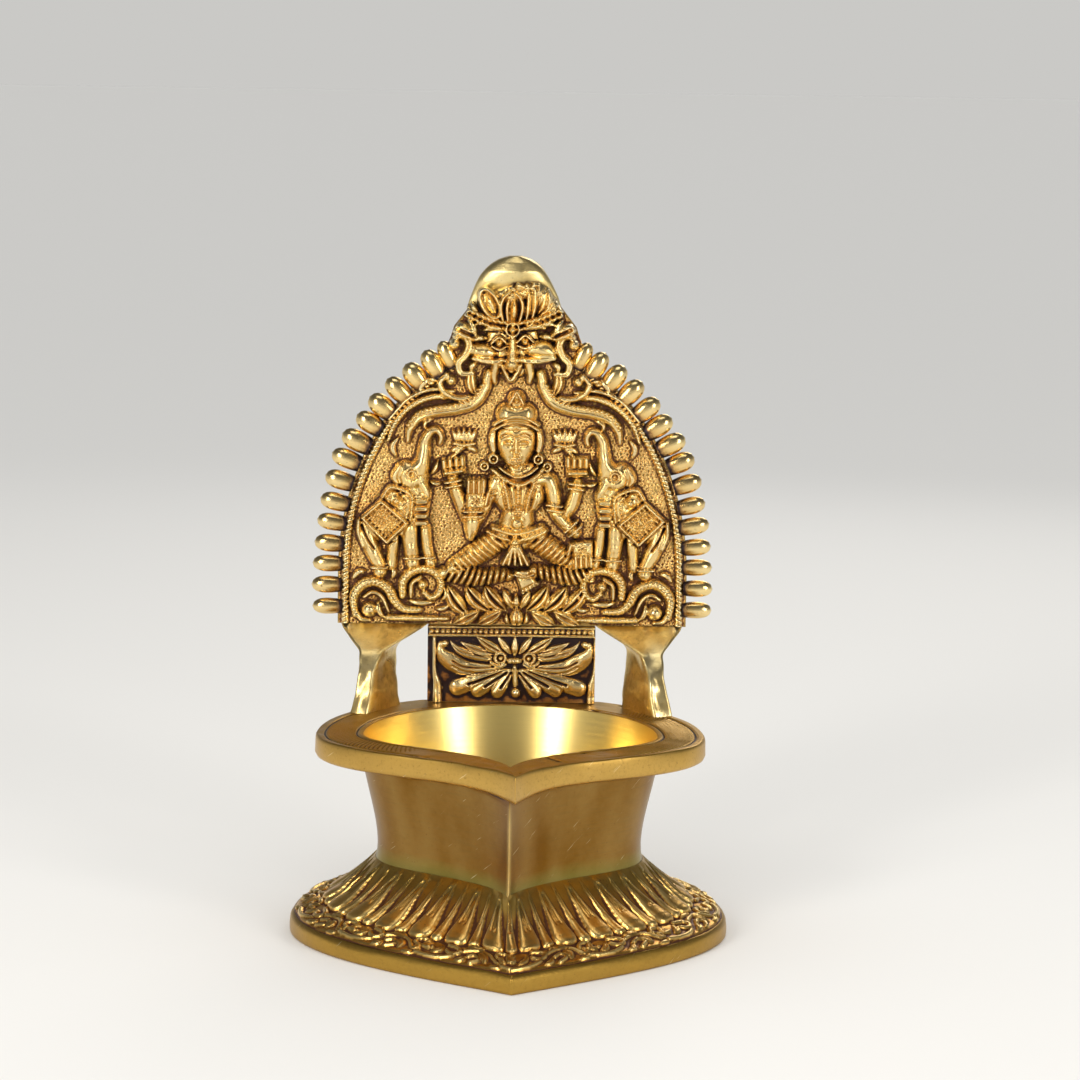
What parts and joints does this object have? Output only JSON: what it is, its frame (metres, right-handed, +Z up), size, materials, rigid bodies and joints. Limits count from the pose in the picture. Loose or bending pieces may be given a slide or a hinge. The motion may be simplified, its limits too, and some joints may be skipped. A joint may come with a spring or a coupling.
{
  "type": "kamakshi lamp",
  "caption": "Cast brass oil lamp: spade-shaped oil bowl with a wick spout on a petalled foot, and a relief arch on two legs behind it.",
  "frame": {"origin": "under the middle of the lamp's box, on the surface that it stands on", "axes": "+Z up, the spout points to -Y, +X to the right of a viewer in front of the spout"},
  "size_m": [0.0988, 0.1024, 0.15],
  "materials": {
    "satin_brass": "satin",
    "polished_brass": "polished",
    "antiqued_brass": "antiqued, dark in the recesses"
  },
  "bodies": {
    "root": {"foot_skirt": "satin_brass", "bowl_body": "satin_brass", "bowl_rim": "satin_brass", "leg_left": "satin_brass", "leg_right": "satin_brass", "finial": "polished_brass", "fringe_left": "polished_brass", "fringe_right": "polished_brass", "foot_petals": "antiqued_brass", "arch_plate": "antiqued_brass", "arch_border": "antiqued_brass", "foot_panel": "antiqued_brass", "beaded_rail": "antiqued_brass", "panel_palmette": "antiqued_brass", "lotus_seat": "antiqued_brass", "seated_figure": "antiqued_brass", "lotus_left": "antiqued_brass", "lotus_right": "antiqued_brass", "elephant_left": "antiqued_brass", "elephant_right": "antiqued_brass", "scroll_left": "antiqued_brass", "scroll_right": "antiqued_brass", "makara_left": "antiqued_brass", "makara_right": "antiqued_brass", "lion_mask": "antiqued_brass", "lotus_crest": "antiqued_brass"}
  },
  "joints": []
}
